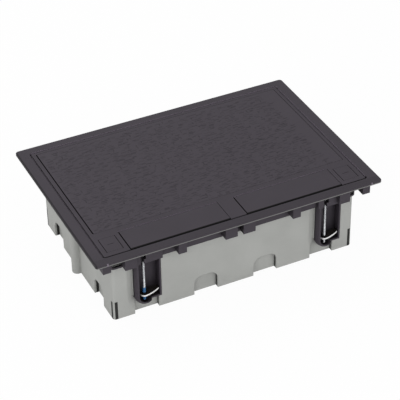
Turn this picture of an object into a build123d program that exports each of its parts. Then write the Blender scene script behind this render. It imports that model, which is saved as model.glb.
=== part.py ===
from build123d import *
import os

# Floor socket box for a raised floor: a dark frame with a flush hinged lid and two cable flaps,
# four screw-driven claws that clamp it to the floor panel, and a grey box underneath
# that holds three power sockets, three twin data outlets and the wiring.
# Millimetres. Z up, the origin is the centre of the box's base, the cable flaps face -Y.

# Overall
total_height = 77.0
flange_length = 276.0
flange_width = 191.0
flange_thickness = 2.6
flange_corner = 3.0
flange_edge_round = 0.8

# Lid and the well that it lies in
lid_border_x = 11.0
lid_border_y = 9.3
lid_thickness = 5.0
lid_corner = 2.0
lid_gap = 0.8
lid_seat_gap = 0.2
lid_rim = 4.2
lid_top_round = 1.5
lid_heel_round = 2.4
lid_hinge_inset = 2.5
lid_pin_radius = 1.4
lid_pin_grip = 8.0
lid_rib_height = 4.0
lid_rib_thickness = 1.6
lid_rib_count = 5
lid_rib_clearance = 1.5
tray_wall = 1.9
ledge_thickness = 2.4

# Textured panel in the lid
panel_from_front = 34.2
panel_thickness = 2.6
panel_side_gap = 0.7
panel_end_gap = 0.25
panel_corner = 1.0

# The panel and the cable flaps lie a little off centre between their side gaps, towards +X
side_play = 0.3

# Cable flaps, one each side of the middle bar, with another bar before the latches
middle_bar_width = 15.4
latch_bar_width = 5.2
flap_side_gap = 0.7
flap_back_gap = 0.25
flap_front_gap = 1.2
flap_thickness = 3.6
flap_depth = 28.4
flap_hinge_radius = 1.2
flap_pin_radius = 0.7
flap_pin_length = 9.0
seal_thickness = 1.2
seal_width = 6.0
seal_end_gap = 2.0

# Latches in the lid's front corners: a pressed plate drives a flat bolt forwards by a 45 degree wedge
latch_from_side = 12.7
latch_from_front = 5.5
latch_width = 14.6
latch_length = 19.4
latch_plate_thickness = 1.2
latch_side_gap = 0.5
latch_end_gap = 0.15
latch_press = 1.8
latch_mark_length = 6.2
latch_mark_width = 0.7
latch_mark_depth = 0.25
bolt_width = 8.0
bolt_length = 19.0
bolt_thickness = 1.0
bolt_gap = 0.1
bolt_window_gap = 0.4
bolt_tip_inset = 0.2
wedge_width = 3.0
wedge_thickness = 2.0
wedge_gap = 0.15

# Grey box
box_inset_x = 19.3
box_inset_y = 16.6
box_wall = 2.4
box_floor = 2.5
box_corner = 3.0
box_rim_gap = 0.1
rim_notch_width = 8.4
rim_notch_depth = 10.9

# Knock-outs for the conduits
knock_height = 19.0
knock_recess = 4.2
knock_membrane = 1.5
knock_frame = 2.0
knock_top_radius = 8.0
knock_width_long = 23.2
knock_width_short = 20.5
knock_near_x = 29.4
knock_from_corner = 32.0

# Bosses on the short sides, which take the screws between frame and box
boss_radius = 5.0
boss_stand_off = 1.5
fixing_screw_radius = 1.7
fixing_screw_length = 25.0
fixing_head_radius = 3.6
fixing_clearance = 0.05

# Skirt, tabs and blocks under the flange
skirt_wall = 1.7
skirt_gap = 0.3
skirt_depth = 20.3
tab_depth = 18.5
tab_inner_from = 2.9
tab_inner_to = 14.5
tab_outer_from = 51.7
tab_outer_to = 59.4
side_tab_from = 40.0
side_tab_to = 52.0
shoulder_from_screw = 9.3
shoulder_width = 10.9
corner_block_length = 7.4
corner_block_width = 8.0
corner_block_depth = 15.5

# Claw guides, where x and y are measured from the claw screw and the stored claw points to +X
claw_from_corner = 29.5
wall_from_screw = 0.5
guide_radius = 9.5
guide_wall = 1.4
guide_length = 16.5
guide_mouth = 5.1
dome_centre_z = 20.3
guide_floor_z = 12.0
pocket_gap = 0.4
pocket_wall = 2.0
funnel_width = 5.6
funnel_depth = 2.0
head_window_drop = 3.4
head_window_height = 4.9
head_window_from = 4.1
head_window_to = 0.9
head_window_depth = 0.4
head_slot_width = 3.1

# Claw screws, their collars and the claws
claw_screw_radius = 1.5
claw_screw_tip_z = 13.4
claw_head_radius = 2.8
claw_head_height = 2.4
claw_head_gap = 0.3
head_pocket_gap = 0.4
running_clearance = 0.06
drive_slot_width = 0.8
drive_slot_depth = 1.2
collar_wall = 0.7
collar_height = 3.6
collar_flange_reach = 1.0
collar_flange_height = 0.8
claw_bottom_z = 19.2
claw_thickness = 1.6
claw_hub_radius = 4.0
claw_reach = 14.2
claw_front_at_tip = 1.0
claw_back = 5.2
claw_bow = 0.9
claw_seat_gap = 0.05

# Two rows of devices
module_size = 45.0
modules_in_row = 3
module_gap = 0.1
device_face_z = 42.0
device_collar = 2.2
device_plate = 2.2
device_frame_end = 7.4
device_frame_side = 3.6
device_frame_lip = 6.0
device_lip_wall = 1.6
device_body_inset = 1.3
device_corner = 2.0
post_radius = 3.8
post_offset_y = 18.0
post_from_end = 3.7
device_screw_radius = 1.45
device_screw_length = 10.0
device_screw_head_radius = 2.7
device_screw_head_height = 1.8
device_screw_clearance = 0.05

# Power sockets
well_rim = 3.0
well_depth = 17.5
pin_hole_radius = 2.5
pin_hole_spacing = 19.0
pin_hole_depth = 11.0
socket_back = 2.0
clip_slot_width = 6.0
clip_slot_depth = 1.6
clip_width = 4.4
clip_thickness = 0.8
clip_crown = 1.2

# Twin data outlets
jack_spacing = 20.0
port_width = 11.8
port_height = 7.0
port_key_width = 6.2
port_key_height = 2.4
port_depth = 12.0
jack_width = 15.0
jack_height = 17.0
jack_length = 26.0
data_body_depth = 12.0
data_frame_wall = 1.6

# Partition between power and data, and the earth terminal
partition_thickness = 1.6
partition_height = 36.0
partition_end_gap = 0.4
partition_side_gap = 0.1
guide_rib_width = 2.0
guide_rib_reach = 4.0
guide_rib_gap = 0.2
earth_bar_length = 32.0
earth_bar_width = 8.0
earth_bar_height = 9.0
earth_bar_from_wall = 20.3
earth_saddle_height = 6.0
earth_screw_count = 4
earth_screw_radius = 1.7
earth_head_radius = 2.8
earth_head_height = 2.0

# Worked out from the sizes above
flange_bottom = total_height - flange_thickness
lid_length = flange_length - 2 * lid_border_x
lid_width = flange_width - 2 * lid_border_y
lid_bottom = total_height - lid_thickness
box_length = flange_length - 2 * box_inset_x
box_width = flange_width - 2 * box_inset_y
well_length = lid_length + 2 * lid_gap
well_width = lid_width + 2 * lid_gap
ledge_top = lid_bottom - lid_seat_gap
ledge_bottom = ledge_top - ledge_thickness
tray_length = well_length + 2 * tray_wall
tray_width = well_width + 2 * tray_wall
box_top = ledge_bottom - box_rim_gap
box_inner_length = box_length - 2 * box_wall
box_inner_width = box_width - 2 * box_wall
skirt_inner_length = box_length + 2 * skirt_gap
skirt_inner_width = box_width + 2 * skirt_gap
skirt_length = skirt_inner_length + 2 * skirt_wall
skirt_width = skirt_inner_width + 2 * skirt_wall
skirt_bottom = total_height - skirt_depth
claw_screw_x = box_length / 2 - claw_from_corner
claw_screw_y = box_width / 2 + wall_from_screw
collar_radius = claw_screw_radius + running_clearance + collar_wall
shoulder_from = claw_screw_x + shoulder_from_screw
shoulder_to = shoulder_from + shoulder_width
knock_far_x = box_length / 2 - knock_from_corner
knock_side_y = box_width / 2 - knock_from_corner
earth_bar_x = earth_bar_from_wall - box_inner_length / 2
lid_hinge_y = lid_width / 2 - lid_hinge_inset
lid_hinge_z = total_height - lid_thickness / 2
panel_front = panel_from_front - lid_width / 2
latch_centre_x = lid_length / 2 - latch_from_side
latch_front = latch_from_front - lid_width / 2
latch_back = latch_front + latch_length
latch_plate_bottom = total_height - latch_plate_thickness
latch_floor_z = latch_plate_bottom - latch_press - bolt_gap
bolt_top = latch_floor_z - bolt_gap
bolt_bottom = bolt_top - bolt_thickness
bolt_x = (latch_centre_x - bolt_width / 2, latch_centre_x + bolt_width / 2)
bolt_y = (bolt_tip_inset - lid_width / 2, bolt_tip_inset - lid_width / 2 + bolt_length)
flap_from = middle_bar_width / 2 + flap_side_gap
flap_to = latch_centre_x - latch_width / 2 - latch_bar_width
flap_front = flap_front_gap - lid_width / 2
flap_back = flap_depth - lid_width / 2
flap_bottom = total_height - flap_thickness
flap_hinge_y = flap_back - flap_hinge_radius
flap_hinge_z = total_height - flap_hinge_radius
claw_places = (
    ("front_left", -claw_screw_x, -claw_screw_y, 0),
    ("front_right", claw_screw_x, -claw_screw_y, 0),
    ("rear_right", claw_screw_x, claw_screw_y, 180),
    ("rear_left", -claw_screw_x, claw_screw_y, 180),
)
device_plate_top = device_face_z - device_collar
device_plate_bottom = device_plate_top - device_plate
row_length = modules_in_row * module_size
device_frame_length = row_length + 2 * device_frame_end
device_frame_width = module_size + 2 * device_frame_side
row_y = (device_frame_width + partition_thickness) / 2 + partition_side_gap
well_radius = module_size / 2 - well_rim
post_x = device_frame_length / 2 - post_from_end
module_names = ("left", "middle", "right")


def block(x, y, z):
    """A box between two limits on each axis."""
    size = (x[1] - x[0], y[1] - y[0], z[1] - z[0])
    return Pos(x[0], y[0], z[0]) * Box(*size, align=(Align.MIN, Align.MIN, Align.MIN))


def slab(length, width, radius, z):
    """A plate centred on the Z axis with rounded corners, between two heights."""
    return extrude(Pos(0, 0, z[0]) * RectangleRounded(length, width, radius), z[1] - z[0])


def rod(radius, z, x=0.0, y=0.0):
    """An upright cylinder between two heights."""
    height = z[1] - z[0]
    return Pos(x, y, z[0]) * Cylinder(radius, height, align=(Align.CENTER, Align.CENTER, Align.MIN))


def cross_rod(radius, x, y, z):
    """A cylinder along X between two places."""
    length = x[1] - x[0]
    return Pos((x[0] + x[1]) / 2, y, z) * Rot(0, 90, 0) * Cylinder(radius, length)


def mirrored_x(shape):
    return shape + mirror(shape, Plane.YZ)


def four_ways(shape):
    """The shape with its copies across both middle planes."""
    pair = mirrored_x(shape)
    return pair + mirror(pair, Plane.XZ)


def placed_at_claws(shape):
    """A copy of the shape at each claw screw."""
    return [Pos(x, y, 0) * Rot(0, 0, turn) * shape for _, x, y, turn in claw_places]


def guide_form(spread, top, floor_z, front):
    """The claw guide's outer form grown by a spread: a round column with a domed foot beside a square pocket."""
    radius = guide_radius + spread
    column = rod(radius, (dome_centre_z, top)) + Pos(0, 0, dome_centre_z) * Sphere(radius)
    pocket = block((0, guide_length + spread), (front, radius), (floor_z - spread, top))
    return column + pocket


def claw_guide():
    """A channel for the screw and claw, open towards the floor panel, under a solid head."""
    inner = guide_form(-guide_wall, skirt_bottom, guide_floor_z, -2 * guide_radius)
    outer = guide_form(0, ledge_bottom, guide_floor_z, 0)
    head_front = block((-guide_radius, guide_length), (-guide_mouth, 0), (skirt_bottom, ledge_bottom))
    guide = outer + head_front - inner
    guide -= block((-2 * guide_radius, 2 * guide_length), (-3 * guide_radius, -guide_mouth), (0, ledge_bottom))
    return guide - head_window()


def head_window():
    """The opening in the front of a guide's head that bares the screw, with a narrower slot down to the channel."""
    depth = (-guide_mouth, head_window_depth)
    top = ledge_bottom - head_window_drop
    sill = top - head_window_height
    window = block((-head_window_from, head_window_to), depth, (sill, top))
    return window + block((-head_window_from, head_slot_width - head_window_from), depth, (skirt_bottom, sill))


def claw_screw_holes():
    """The running hole of the screw and the pocket that takes its head below the lid."""
    hole = rod(claw_screw_radius + running_clearance, (skirt_bottom - guide_wall, total_height))
    head_seat = ledge_top - claw_head_height - claw_head_gap
    return hole + rod(claw_head_radius + head_pocket_gap, (head_seat, total_height))


def make_frame():
    flange = slab(flange_length, flange_width, flange_corner, (flange_bottom, total_height))
    flange = fillet(flange.edges().group_by(Axis.Z)[-1], flange_edge_round)
    tray = slab(tray_length, tray_width, lid_corner + lid_gap + tray_wall, (ledge_bottom, flange_bottom))
    skirt = slab(skirt_length, skirt_width, box_corner + skirt_gap + skirt_wall, (skirt_bottom, ledge_bottom))
    skirt -= slab(skirt_inner_length, skirt_inner_width, box_corner + skirt_gap, (skirt_bottom, ledge_bottom))
    frame = flange + tray + skirt
    frame -= slab(well_length, well_width, lid_corner + lid_gap, (ledge_top, total_height))
    frame -= slab(box_inner_length, box_inner_width, box_corner, (ledge_bottom, ledge_top))
    frame += tabs() + shoulders()
    for guide in placed_at_claws(claw_guide()):
        frame += guide
    for hole in placed_at_claws(claw_screw_holes()):
        frame -= hole
    boss_room = boss_outline(skirt_gap)
    frame -= mirrored_x(extrude(Pos(0, 0, skirt_bottom) * boss_room, ledge_bottom - skirt_bottom))
    frame -= fixing_screws(fixing_clearance)
    frame -= rail_windows()
    frame -= bolt_windows()
    pin_x = (well_length / 2 - 1, tray_length / 2)
    frame -= mirrored_x(cross_rod(lid_pin_radius + running_clearance, pin_x, lid_hinge_y, lid_hinge_z))
    return frame


def tabs():
    """The tabs that centre the frame in the hole of the floor panel."""
    depth = (total_height - tab_depth, ledge_bottom)
    reach_y = (skirt_inner_width / 2, tray_width / 2)
    reach_x = (skirt_inner_length / 2, tray_length / 2)
    long_side = block((tab_inner_from, tab_inner_to), reach_y, depth)
    long_side += block((tab_outer_from, tab_outer_to), reach_y, depth)
    short_side = block(reach_x, (side_tab_from, side_tab_to), depth)
    return four_ways(long_side + short_side)


def shoulders():
    """The deeper blocks beside the claw guides and at the frame's corners."""
    depth = (total_height - tab_depth, ledge_bottom)
    shoulder = block((shoulder_from, shoulder_to), (skirt_inner_width / 2, tray_width / 2), depth)
    corner_y = (tray_width / 2 - corner_block_width, tray_width / 2)
    corner_z = (total_height - corner_block_depth, ledge_bottom)
    corner_x = (tray_length / 2 - corner_block_length, tray_length / 2)
    return four_ways(shoulder + block(corner_x, corner_y, corner_z))


def rail_windows():
    """The windows in the skirt between the shoulders and the corners, with a rail left below them."""
    window_x = (shoulder_to, shoulder_to + rim_notch_width)
    window_z = (total_height - tab_depth, ledge_bottom)
    return four_ways(block(window_x, (skirt_inner_width / 2 - 1, skirt_width / 2), window_z))


def bolt_windows():
    """The slots in the well's front wall that the latch bolts slide into."""
    window_x = (bolt_x[0] - bolt_window_gap, bolt_x[1] + bolt_window_gap)
    window_y = (-tray_width / 2, -well_width / 2)
    return mirrored_x(block(window_x, window_y, (ledge_top, flange_bottom)))


def boss_outline(spread):
    """The plan of a boss on the box's right side, grown by a spread."""
    centre_x = box_length / 2 + boss_stand_off
    round_end = Pos(centre_x, 0) * Circle(boss_radius + spread)
    neck_length = boss_stand_off + box_wall
    neck = Pos(centre_x - neck_length / 2, 0) * Rectangle(neck_length, 2 * (boss_radius + spread))
    return round_end + neck


def fixing_screws(spread):
    """The countersunk screws between the frame and the box's bosses, grown by a spread for their holes."""
    x = box_length / 2 + boss_stand_off
    head_height = fixing_head_radius - fixing_screw_radius
    shank = rod(fixing_screw_radius + spread, (ledge_top - fixing_screw_length, ledge_top), x)
    cone_z = ledge_top - head_height / 2
    cone = Cone(fixing_screw_radius + spread, fixing_head_radius + spread, head_height)
    return mirrored_x(shank + Pos(x, 0, cone_z) * cone)


def knock_outline(width):
    """An arched entry, square at the base, drawn upright in its wall's plane."""
    entry = Pos(0, knock_height / 2) * Rectangle(width, knock_height)
    top_corners = entry.vertices().group_by(Axis.Y)[-1]
    return fillet(top_corners, min(knock_top_radius, width / 2 - knock_frame))


def entry_places():
    """The plane and width of each conduit entry: its origin at the wall's foot, its normal outwards."""
    places = []
    for x in (-knock_far_x, -knock_near_x, knock_near_x, knock_far_x):
        places.append((Plane((x, -box_width / 2, 0), (1, 0, 0), (0, -1, 0)), knock_width_long))
        places.append((Plane((x, box_width / 2, 0), (-1, 0, 0), (0, 1, 0)), knock_width_long))
    for y in (-knock_side_y, knock_side_y):
        places.append((Plane((box_length / 2, y, 0), (0, 1, 0), (1, 0, 0)), knock_width_short))
        places.append((Plane((-box_length / 2, y, 0), (0, -1, 0), (-1, 0, 0)), knock_width_short))
    return places


def knock_outs():
    """The inward housings of the entries and the hollows that are cut into them from outside."""
    housings = []
    hollows = []
    for plane, width in entry_places():
        outline = knock_outline(width)
        grown = offset(outline, knock_frame, kind=Kind.INTERSECTION)
        grown &= Pos(0, knock_height) * Rectangle(2 * width, 2 * knock_height)
        housings.append(extrude(plane * grown, -(knock_recess + knock_membrane)))
        hollows.append(extrude(plane * outline, -knock_recess))
    return housings, hollows


def funnel():
    """The bevel in the grey wall on the column's side of a claw guide."""
    radius = guide_radius + pocket_gap
    side = Polyline(
        (-radius - funnel_width, wall_from_screw),
        (-radius, wall_from_screw),
        (-radius, wall_from_screw + funnel_depth),
        close=True,
    )
    upright = extrude(Pos(0, 0, dome_centre_z) * make_face(side), box_top - dome_centre_z)
    cone = Cone(radius + funnel_width, radius, funnel_depth)
    turned = Pos(0, wall_from_screw + funnel_depth / 2, dome_centre_z) * Rot(-90, 0, 0) * cone
    quarter = block((-2 * guide_length, 0), (0, 2 * funnel_depth), (0, dome_centre_z))
    return upright + (turned & quarter)


def make_floor_box():
    outside = slab(box_length, box_width, box_corner, (0, box_top))
    bosses = mirrored_x(extrude(boss_outline(0), box_top))
    shell = outside + bosses - slab(box_inner_length, box_inner_width, box_corner, (box_floor, box_top))
    housings, hollows = knock_outs()
    for housing in housings:
        shell += housing
    pocket_front = wall_from_screw
    for lining in placed_at_claws(guide_form(pocket_gap + pocket_wall, box_top, guide_floor_z, pocket_front)):
        shell += lining & outside
    for room in placed_at_claws(guide_form(pocket_gap, box_top, guide_floor_z, -2 * guide_radius) + funnel()):
        shell -= room
    for hollow in hollows:
        shell -= hollow
    shell += device_posts() + partition_guides() + earth_saddle()
    shell -= device_screws(device_screw_clearance)
    shell -= fixing_screws(fixing_clearance)
    notch_x = (shoulder_to, shoulder_to + rim_notch_width)
    notch_z = (box_top - rim_notch_depth, box_top)
    return shell - four_ways(block(notch_x, (box_inner_width / 2 - 1, box_width / 2), notch_z))


def device_posts():
    posts = Part()
    for x in (-post_x, post_x):
        for y in post_rows():
            posts += rod(post_radius, (box_floor, device_plate_bottom), x, y)
    return posts


def post_rows():
    return [row + side * post_offset_y for row in (-row_y, row_y) for side in (-1, 1)]


def device_screws(spread):
    """The pan-head screws that hold the device frames to the posts, grown by a spread for their holes."""
    screws = Part()
    shank_z = (device_plate_top - device_screw_length, device_plate_top)
    head_z = (device_plate_top, device_plate_top + device_screw_head_height)
    for x in (-post_x, post_x):
        for y in post_rows():
            screws += rod(device_screw_radius + spread, shank_z, x, y)
            screws += rod(device_screw_head_radius + spread, head_z, x, y)
    return screws


def partition_guides():
    """The pairs of ribs on the end walls that the partition drops between."""
    gap = partition_thickness / 2 + guide_rib_gap
    reach = (box_inner_length / 2 - guide_rib_reach, box_inner_length / 2)
    rib = block(reach, (gap, gap + guide_rib_width), (box_floor, box_floor + partition_height))
    return four_ways(rib)


def earth_saddle():
    x = (earth_bar_x - earth_bar_width / 2, earth_bar_x + earth_bar_width / 2)
    y = (row_y - earth_bar_length / 4, row_y + earth_bar_length / 4)
    return block(x, y, (box_floor, box_floor + earth_saddle_height))


def make_lid():
    lid = slab(lid_length, lid_width, lid_corner, (lid_bottom, total_height))
    back_edges = lid.edges().filter_by(Axis.X).group_by(Axis.Y)[-1].sort_by(Axis.Z)
    lid = fillet(back_edges[-1], lid_top_round)
    back_edges = lid.edges().filter_by(Axis.X).group_by(Axis.Z)[0].sort_by(Axis.Y)
    lid = fillet(back_edges[-1], lid_heel_round)
    lid += lid_ribs()
    lid -= panel_slab(0, 0, panel_corner)
    lid -= mirrored_x(flap_room())
    lid -= mirrored_x(latch_room())
    lid -= flap_pins(running_clearance / 2)
    pin_x = (lid_length / 2 - lid_pin_grip, lid_length / 2)
    return lid - mirrored_x(cross_rod(lid_pin_radius, pin_x, lid_hinge_y, lid_hinge_z))


def lid_ribs():
    """Stiffening ribs under the lid, inside the ledge that it rests on."""
    half_x = box_inner_length / 2 - lid_rib_clearance
    back = claw_screw_y - guide_radius - pocket_gap - pocket_wall - lid_rib_clearance
    front = flap_back + 2 * lid_rib_thickness
    depth = (lid_bottom - lid_rib_height, lid_bottom)
    ribs = block((-half_x, half_x), (front, back), depth)
    cell_x = (2 * half_x - (lid_rib_count + 1) * lid_rib_thickness) / lid_rib_count
    cell_y = (back - front - 3 * lid_rib_thickness) / 2
    for column in range(lid_rib_count):
        x = -half_x + lid_rib_thickness + column * (cell_x + lid_rib_thickness)
        for row in range(2):
            y = front + lid_rib_thickness + row * (cell_y + lid_rib_thickness)
            ribs -= block((x, x + cell_x), (y, y + cell_y), depth)
    return ribs


def panel_slab(side_gap, end_gap, corner):
    """The recess of the textured panel, made smaller by the gaps for the panel itself."""
    back = lid_width / 2 - lid_rim
    length = lid_length - 2 * lid_rim - 2 * side_gap
    width = back - panel_front - 2 * end_gap
    panel = slab(length, width, corner, (total_height - panel_thickness, total_height))
    return Pos(0, (back + panel_front) / 2, 0) * panel


def make_panel():
    return Pos(side_play, 0, 0) * panel_slab(panel_side_gap, panel_end_gap, panel_corner)


def flap_room():
    """The notch in the lid's front edge for the right flap."""
    x = (flap_from - flap_side_gap, flap_to + flap_side_gap)
    return block(x, (-lid_width, flap_back + flap_back_gap), (0, total_height))


def beside(side, piece):
    """A piece of the right flap where it lies on the given side, with the play in the side gaps."""
    return Pos(side_play, 0, 0) * (piece if side == "right" else mirror(piece, Plane.YZ))


def make_flap(side):
    """A flap: a plate with a rounded hinge edge and pin bores at both ends."""
    plate = block((flap_from, flap_to), (flap_front, flap_hinge_y), (flap_bottom, total_height))
    flap = plate + cross_rod(flap_hinge_radius, (flap_from, flap_to), flap_hinge_y, flap_hinge_z)
    front_top = flap.edges().filter_by(Axis.X).group_by(Axis.Y)[0].sort_by(Axis.Z)[-1]
    flap = chamfer(front_top, flange_edge_round)
    return beside(side, flap) - flap_pins(running_clearance)


def flap_pins(spread):
    """Both flaps' hinge pins, half in the flap and half in the lid, grown by a spread for their bores."""
    half = flap_pin_length / 2
    pins = Part()
    for x in (flap_from - flap_side_gap / 2, flap_to + flap_side_gap / 2):
        pins += cross_rod(flap_pin_radius + spread, (x - half, x + half), flap_hinge_y, flap_hinge_z)
    return mirrored_x(pins)


def make_seal(side):
    """The foam strip under a flap's front edge."""
    x = (flap_from + seal_end_gap, flap_to - seal_end_gap)
    y = (flap_front + flange_edge_round, flap_front + flange_edge_round + seal_width)
    return beside(side, block(x, y, (flap_bottom - seal_thickness, flap_bottom)))


def latch_plate(side_gap, end_gap, bottom):
    """The right latch's plate down to a given height, grown by the gaps for its recess."""
    half = latch_width / 2 + side_gap
    y = (latch_front - end_gap, latch_back + end_gap)
    return block((latch_centre_x - half, latch_centre_x + half), y, (bottom, total_height))


def wedge_middle(height):
    """Where the middle of the right latch's wedge lies along Y at a given height."""
    return (latch_front + latch_back) / 2 + latch_floor_z - height


def latch_wedge(spread, z):
    """The wedge between two heights, leaning forwards as it rises, grown by a spread for the bolt's slot."""
    half = wedge_thickness / 2 + spread
    corners = []
    for height, side in ((z[0], -1), (z[0], 1), (z[1], 1), (z[1], -1)):
        corners.append((wedge_middle(height) + side * half, height))
    profile = make_face(Polyline(*corners, close=True))
    return Pos(latch_centre_x, 0, 0) * extrude(Plane.YZ * profile, wedge_width / 2 + spread, both=True)


def latch_room():
    """The lid's recess for the right latch plate, the bolt's channel and the hole under the wedge."""
    channel_bottom = bolt_bottom - bolt_gap
    channel_x = (bolt_x[0] - bolt_gap, bolt_x[1] + bolt_gap)
    channel_y = (-lid_width / 2, bolt_y[1] + latch_end_gap)
    room = latch_plate(latch_side_gap, latch_end_gap, latch_floor_z)
    room += block(channel_x, channel_y, (channel_bottom, latch_floor_z))
    reach = wedge_thickness / 2 + wedge_gap
    hole_y = (wedge_middle(channel_bottom + latch_press) - reach, wedge_middle(channel_bottom) + reach)
    half = wedge_width / 2 + wedge_gap
    return room + block((latch_centre_x - half, latch_centre_x + half), hole_y, (0, latch_floor_z))


def make_latch():
    """The right latch: a plate with a finger mark in its face and the wedge under it."""
    latch = latch_plate(0, 0, latch_plate_bottom) + latch_wedge(0, (bolt_bottom, latch_plate_bottom))
    mark_x = (latch_centre_x - latch_mark_length / 2, latch_centre_x + latch_mark_length / 2)
    mark_middle = (latch_front + latch_back) / 2
    mark_y = (mark_middle - latch_mark_width / 2, mark_middle + latch_mark_width / 2)
    return latch - block(mark_x, mark_y, (total_height - latch_mark_depth, total_height))


def make_bolt():
    """The right latch's flat steel bolt, with the sloping slot that the wedge drives."""
    bolt = block(bolt_x, bolt_y, (bolt_bottom, bolt_top))
    return bolt - latch_wedge(wedge_gap, (bolt_bottom, bolt_top))


def lid_pins():
    """The lid's hinge pins, pressed into its sides and turning in the well's side walls."""
    pin_x = (lid_length / 2 - lid_pin_grip, tray_length / 2)
    return mirrored_x(cross_rod(lid_pin_radius, pin_x, lid_hinge_y, lid_hinge_z))


def make_claw_screw():
    """A long screw with a slotted pan head, upright on its own axis."""
    head_top = ledge_top - claw_head_gap
    shank = rod(claw_screw_radius, (claw_screw_tip_z, head_top - claw_head_height))
    head = rod(claw_head_radius, (head_top - claw_head_height, head_top))
    head = fillet(head.edges().group_by(Axis.Z)[-1], claw_head_height / 3)
    slot = block((-claw_head_radius, claw_head_radius), (-drive_slot_width / 2, drive_slot_width / 2),
                 (head_top - drive_slot_depth, head_top))
    tip = chamfer(shank.edges().group_by(Axis.Z)[0], claw_screw_radius / 3)
    return tip + head - slot


def make_collar():
    """The threaded collar that climbs the screw and carries the claw on its flange."""
    flange_z = claw_bottom_z - claw_seat_gap - collar_flange_height
    collar = rod(collar_radius, (flange_z, flange_z + collar_height))
    collar += rod(collar_radius + collar_flange_reach, (flange_z, flange_z + collar_flange_height))
    return collar - rod(claw_screw_radius + running_clearance, (flange_z, flange_z + collar_height))


def make_claw():
    """A pressed steel claw: a hub with a flat arm, bowed along its front edge."""
    hub = Circle(claw_hub_radius)
    front_middle = (claw_reach / 2, (claw_front_at_tip - claw_hub_radius) / 2 - claw_bow)
    arm_edges = Curve() + [
        ThreePointArc((0, -claw_hub_radius), front_middle, (claw_reach, claw_front_at_tip)),
        Polyline((claw_reach, claw_front_at_tip), (claw_reach, claw_back), (claw_hub_radius, claw_back),
                 (0, claw_hub_radius), (0, -claw_hub_radius)),
    ]
    plan = hub + make_face(arm_edges.edges()) - Circle(collar_radius + running_clearance)
    return extrude(Pos(0, 0, claw_bottom_z) * plan, claw_thickness)


def make_device_frame():
    """A carrier for one row of devices, centred on the X axis: a plate with a window and a turned-down edge."""
    length = device_frame_length
    width = device_frame_width
    plate = slab(length, width, device_corner, (device_plate_bottom, device_plate_top))
    lip_z = (device_plate_bottom - device_frame_lip, device_plate_bottom)
    inner_width = width - 2 * device_lip_wall
    plate += slab(row_length, width, device_corner, lip_z)
    plate -= block((-row_length / 2, row_length / 2), (-inner_width / 2, inner_width / 2), lip_z)
    window = row_length / 2 + module_gap
    window_y = module_size / 2 - device_body_inset + module_gap
    frame = plate - block((-window, window), (-window_y, window_y), (0, device_face_z))
    return frame - Pos(0, -row_y, 0) * device_screws(device_screw_clearance)


def module_places():
    return [(name, (index - 1) * module_size) for index, name in enumerate(module_names)]


def module_collar():
    """The square face of a device, resting on its carrier."""
    size = module_size - 2 * module_gap
    return slab(size, size, device_corner, (device_plate_top, device_face_z))


def make_power_socket():
    """A power socket insert: a round well with two pin holes and side slots for the earth clips."""
    size = module_size - 2 * device_body_inset
    well_floor = device_face_z - well_depth
    bottom = well_floor - pin_hole_depth - socket_back
    body = slab(size, size, device_corner, (bottom, device_plate_top))
    socket = module_collar() + body - rod(well_radius, (well_floor, device_face_z))
    for x in (-pin_hole_spacing / 2, pin_hole_spacing / 2):
        socket -= rod(pin_hole_radius, (well_floor - pin_hole_depth, well_floor), x)
    half = clip_slot_width / 2
    slot = block((-half, half), (0, well_radius + clip_slot_depth), (well_floor, device_face_z - device_collar))
    return socket - slot - mirror(slot, Plane.XZ)


def make_earth_clips():
    """The two sprung earth contacts of a power socket, bowed into its well."""
    well_floor = device_face_z - well_depth
    top = device_face_z - device_collar
    outer = well_radius + clip_slot_depth
    root = outer - clip_thickness
    crown = (root - clip_crown, (well_floor + top) / 2)
    bow = ThreePointArc((root, well_floor), crown, (root, top))
    back_bow = ThreePointArc((outer, well_floor), (crown[0] + clip_thickness, crown[1]), (outer, top))
    profile = make_face([bow, back_bow, Line((root, top), (outer, top)), Line((root, well_floor), (outer, well_floor))])
    clip = extrude(Plane.YZ * profile, clip_width / 2, both=True)
    return clip + mirror(clip, Plane.XZ)


def make_data_outlet():
    """A twin data outlet: a face with two keyed ports over an open carrier for the jacks."""
    size = module_size - 2 * device_body_inset
    body = slab(size, size, device_corner, (device_plate_top - data_body_depth, device_plate_top))
    inner = size - 2 * data_frame_wall
    body -= block((-inner / 2, inner / 2), (-inner / 2, inner / 2), (0, device_plate_top))
    outlet = module_collar() + body
    for x in (-jack_spacing / 2, jack_spacing / 2):
        outlet -= Pos(x, 0, 0) * port_room(device_plate_top)
    return outlet


def port_room(bottom):
    """A port's opening with its key slot, from the face down to a given height."""
    half = port_width / 2
    key = port_key_width / 2
    room = block((-half, half), (-port_height / 2, port_height / 2), (bottom, device_face_z))
    return room + block((-key, key), (-port_height / 2 - port_key_height, 0), (bottom, device_face_z))


def make_data_jacks():
    """The two jacks behind a data outlet's ports."""
    jacks = Part()
    for x in (-jack_spacing / 2, jack_spacing / 2):
        z = (device_plate_top - jack_length, device_plate_top)
        jack = block((-jack_width / 2, jack_width / 2), (-jack_height / 2, jack_height / 2), z)
        jacks += Pos(x, 0, 0) * (jack - port_room(device_plate_top - port_depth))
    return jacks


def make_partition():
    length = box_inner_length - 2 * partition_end_gap
    half = partition_thickness / 2
    return block((-length / 2, length / 2), (-half, half), (box_floor, box_floor + partition_height))


def earth_screw_places():
    pitch = earth_bar_length / earth_screw_count
    return [row_y + (index - (earth_screw_count - 1) / 2) * pitch for index in range(earth_screw_count)]


def make_earth_bar():
    """A brass bar with a cross hole and a clamping screw for each earth wire."""
    bottom = box_floor + earth_saddle_height
    x = (earth_bar_x - earth_bar_width / 2, earth_bar_x + earth_bar_width / 2)
    y = (row_y - earth_bar_length / 2, row_y + earth_bar_length / 2)
    bar = block(x, y, (bottom, bottom + earth_bar_height))
    for place in earth_screw_places():
        bar -= cross_rod(earth_screw_radius, x, place, bottom + earth_bar_height / 3)
    return bar


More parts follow.
